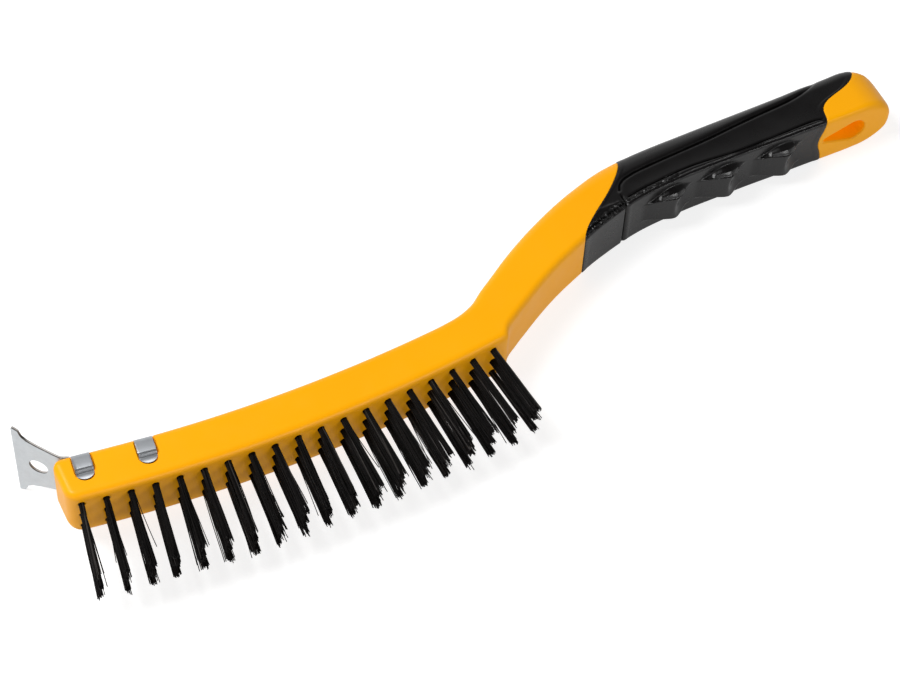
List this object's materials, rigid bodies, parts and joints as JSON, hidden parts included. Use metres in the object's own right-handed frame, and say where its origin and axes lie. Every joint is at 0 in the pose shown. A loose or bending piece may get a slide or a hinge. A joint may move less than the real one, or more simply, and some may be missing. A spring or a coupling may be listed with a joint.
{
  "type": "wire brush",
  "caption": "Long-handled steel wire scratch brush: arched plastic head with drawn-in wire tufts, soft overmoulded grip, hanging slot and a clip-on sheet-steel scraper.",
  "frame": {"origin": "on the bristle face, at the root of the middle tuft of the middle column, on the plane of symmetry", "axes": "+X runs from the scraper nose to the hanging end, -Y is the way the wire points, +Y is the back of the brush, +Z is the normal of the upper flat side; the brush lies on its flat side"},
  "size_m": [0.355, 0.095, 0.0384],
  "materials": {
    "handle_plastic": "smooth injection-moulded, satin to gloss",
    "grip_rubber": "soft overmould, satin",
    "plated_sheet": "bright zinc plate",
    "brush_wire": "dark tempered carbon-steel wire",
    "anchor_wire": "flat drawn wire"
  },
  "bodies": {
    "root": {"handle_core": "handle_plastic", "grip_overmould": "grip_rubber", "scraper": "plated_sheet", "anchor_row_upper": "anchor_wire", "anchor_row_middle": "anchor_wire", "anchor_row_lower": "anchor_wire", "tuft_column_01": "brush_wire", "tuft_column_02": "brush_wire", "tuft_column_03": "brush_wire", "tuft_column_04": "brush_wire", "tuft_column_05": "brush_wire", "tuft_column_06": "brush_wire", "tuft_column_07": "brush_wire", "tuft_column_08": "brush_wire", "tuft_column_09": "brush_wire", "tuft_column_10": "brush_wire", "tuft_column_11": "brush_wire", "tuft_column_12": "brush_wire", "tuft_column_13": "brush_wire", "tuft_column_14": "brush_wire", "tuft_column_15": "brush_wire", "tuft_column_16": "brush_wire", "tuft_column_17": "brush_wire", "tuft_column_18": "brush_wire", "tuft_column_19": "brush_wire"}
  },
  "joints": []
}
